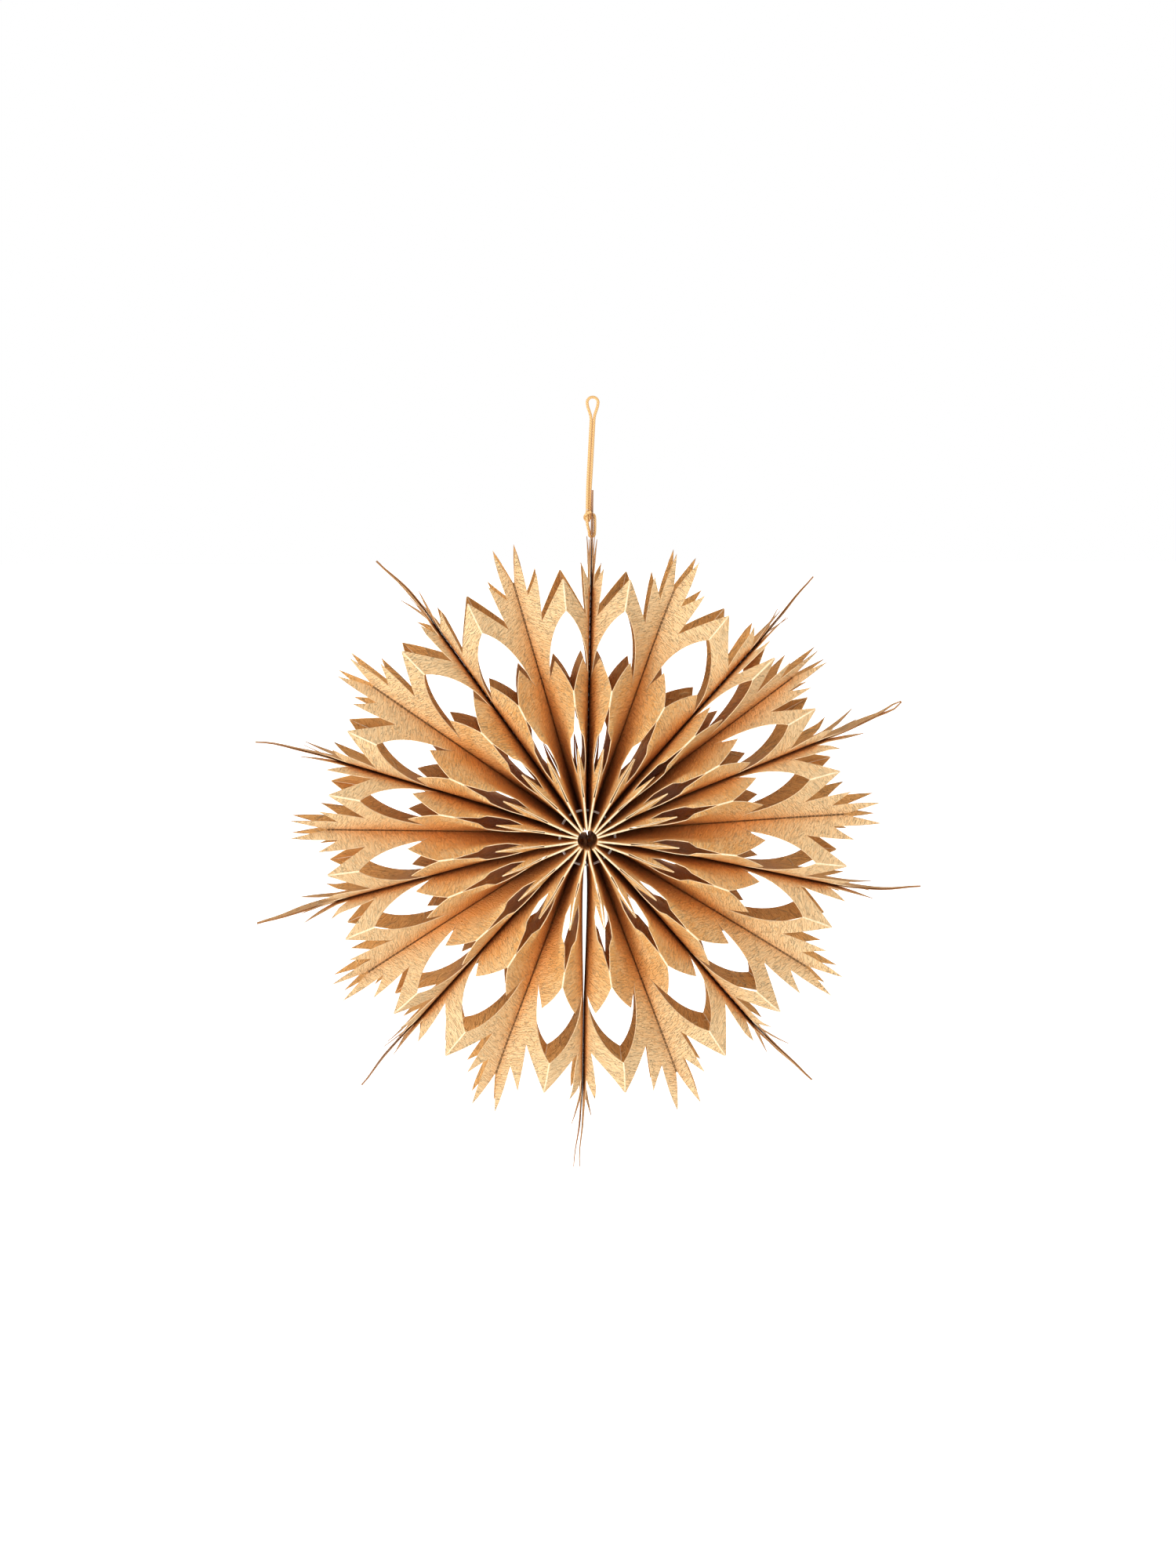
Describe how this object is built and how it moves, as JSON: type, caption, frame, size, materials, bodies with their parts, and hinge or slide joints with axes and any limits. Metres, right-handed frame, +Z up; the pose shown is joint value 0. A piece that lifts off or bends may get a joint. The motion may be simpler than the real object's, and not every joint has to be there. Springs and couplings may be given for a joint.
{
  "type": "paper snowflake ornament",
  "caption": "Hanging folded-paper star with gusseted pockets round a tied hub, cut into toothed leaves and windows, that closes like a fan.",
  "frame": {"origin": "inside of the top of the hanging loop, where a hook holds it", "axes": "+Z up, the front looks towards -Y, +X to the right as seen from the front"},
  "size_m": [0.3894, 0.081, 0.4547],
  "materials": {
    "tan_card": "matt",
    "white_thread": "satin",
    "tan_cord": "matt"
  },
  "bodies": {
    "spine_01": {"pocket_10_far_wall": "tan_card", "pocket_01_near_wall": "tan_card", "pocket_01_front_leaf": "tan_card", "pocket_01_back_leaf": "tan_card", "pocket_10_front_leaf": "tan_card", "pocket_10_back_leaf": "tan_card", "hub_tie_front": "white_thread", "hub_tie_back": "white_thread", "hanging_cord": "tan_cord", "cord_hitch": "tan_cord", "cord_band": "tan_cord"},
    "spine_02": {"pocket_01_far_wall": "tan_card", "pocket_02_near_wall": "tan_card", "pocket_02_front_leaf": "tan_card", "pocket_02_back_leaf": "tan_card"},
    "spine_03": {"pocket_02_far_wall": "tan_card", "pocket_03_near_wall": "tan_card", "pocket_03_front_leaf": "tan_card", "pocket_03_back_leaf": "tan_card"},
    "spine_04": {"pocket_03_far_wall": "tan_card", "pocket_04_near_wall": "tan_card", "pocket_04_front_leaf": "tan_card", "pocket_04_back_leaf": "tan_card"},
    "spine_05": {"pocket_04_far_wall": "tan_card", "pocket_05_near_wall": "tan_card", "pocket_05_front_leaf": "tan_card", "pocket_05_back_leaf": "tan_card"},
    "spine_06_right": {"pocket_05_far_wall": "tan_card"},
    "spine_06_left": {"pocket_06_near_wall": "tan_card"},
    "spine_07": {"pocket_06_far_wall": "tan_card", "pocket_07_near_wall": "tan_card", "pocket_06_front_leaf": "tan_card", "pocket_06_back_leaf": "tan_card"},
    "spine_08": {"pocket_07_far_wall": "tan_card", "pocket_08_near_wall": "tan_card", "pocket_07_front_leaf": "tan_card", "pocket_07_back_leaf": "tan_card"},
    "spine_09": {"pocket_08_far_wall": "tan_card", "pocket_09_near_wall": "tan_card", "pocket_08_front_leaf": "tan_card", "pocket_08_back_leaf": "tan_card"},
    "spine_10": {"pocket_09_far_wall": "tan_card", "pocket_10_near_wall": "tan_card", "pocket_09_front_leaf": "tan_card", "pocket_09_back_leaf": "tan_card"}
  },
  "joints": [
    {"name": "fold_pocket_01", "type": "hinge", "parent": "spine_01", "child": "spine_02", "pos_m": [-0.00186, 0, -0.24715], "axis": [0, -1, 0], "range_deg": [0, 18.8], "deforming": ["pocket_01_front_leaf", "pocket_01_back_leaf", "hub_tie_front", "hub_tie_back"]},
    {"name": "fold_pocket_02", "type": "hinge", "parent": "spine_02", "child": "spine_03", "pos_m": [0.001, 0, -0.24942], "axis": [0, -1, 0], "range_deg": [0, 13.16], "deforming": ["pocket_02_front_leaf", "pocket_02_back_leaf", "hub_tie_front", "hub_tie_back"]},
    {"name": "fold_pocket_03", "type": "hinge", "parent": "spine_03", "child": "spine_04", "pos_m": [0.00209, 0, -0.25248], "axis": [0, -1, 0], "range_deg": [0, 15.48], "deforming": ["pocket_03_front_leaf", "pocket_03_back_leaf", "hub_tie_front", "hub_tie_back"]},
    {"name": "fold_pocket_04", "type": "hinge", "parent": "spine_04", "child": "spine_05", "pos_m": [0.00124, 0, -0.2562], "axis": [0, -1, 0], "range_deg": [0, 18.68], "deforming": ["pocket_04_front_leaf", "pocket_04_back_leaf", "hub_tie_front", "hub_tie_back"]},
    {"name": "fold_pocket_05", "type": "hinge", "parent": "spine_05", "child": "spine_06_right", "pos_m": [-0.00202, 0, -0.25891], "axis": [0, -1, 0], "range_deg": [0, 18.84], "deforming": ["pocket_05_front_leaf", "pocket_05_back_leaf", "hub_tie_front", "hub_tie_back"]},
    {"name": "fold_pocket_10", "type": "hinge", "parent": "spine_01", "child": "spine_10", "pos_m": [-0.00606, 0, -0.24698], "axis": [0, 1, 0], "range_deg": [0, 18.8], "deforming": ["pocket_10_front_leaf", "pocket_10_back_leaf", "hub_tie_front", "hub_tie_back"]},
    {"name": "fold_pocket_09", "type": "hinge", "parent": "spine_10", "child": "spine_09", "pos_m": [-0.00932, 0, -0.24934], "axis": [0, 1, 0], "range_deg": [0, 18.19], "deforming": ["pocket_09_front_leaf", "pocket_09_back_leaf", "hub_tie_front", "hub_tie_back"]},
    {"name": "fold_pocket_08", "type": "hinge", "parent": "spine_09", "child": "spine_08", "pos_m": [-0.01049, 0, -0.25291], "axis": [0, 1, 0], "range_deg": [0, 15.63], "deforming": ["pocket_08_front_leaf", "pocket_08_back_leaf", "hub_tie_front", "hub_tie_back"]},
    {"name": "fold_pocket_07", "type": "hinge", "parent": "spine_08", "child": "spine_07", "pos_m": [-0.00956, 0, -0.2563], "axis": [0, 1, 0], "range_deg": [0, 16.07], "deforming": ["pocket_07_front_leaf", "pocket_07_back_leaf", "hub_tie_front", "hub_tie_back"]},
    {"name": "fold_pocket_06", "type": "hinge", "parent": "spine_07", "child": "spine_06_left", "pos_m": [-0.00648, 0, -0.25887], "axis": [0, 1, 0], "range_deg": [0, 18.84], "deforming": ["pocket_06_front_leaf", "pocket_06_back_leaf", "hub_tie_front", "hub_tie_back"]}
  ],
  "couplings": [
    {"joint": "fold_pocket_02", "follows": "fold_pocket_01", "ratio": 0.698},
    {"joint": "fold_pocket_03", "follows": "fold_pocket_01", "ratio": 0.821},
    {"joint": "fold_pocket_04", "follows": "fold_pocket_01", "ratio": 0.991},
    {"joint": "fold_pocket_05", "follows": "fold_pocket_01", "ratio": 1},
    {"joint": "fold_pocket_09", "follows": "fold_pocket_10", "ratio": 0.965},
    {"joint": "fold_pocket_08", "follows": "fold_pocket_10", "ratio": 0.829},
    {"joint": "fold_pocket_07", "follows": "fold_pocket_10", "ratio": 0.853},
    {"joint": "fold_pocket_06", "follows": "fold_pocket_10", "ratio": 1}
  ]
}
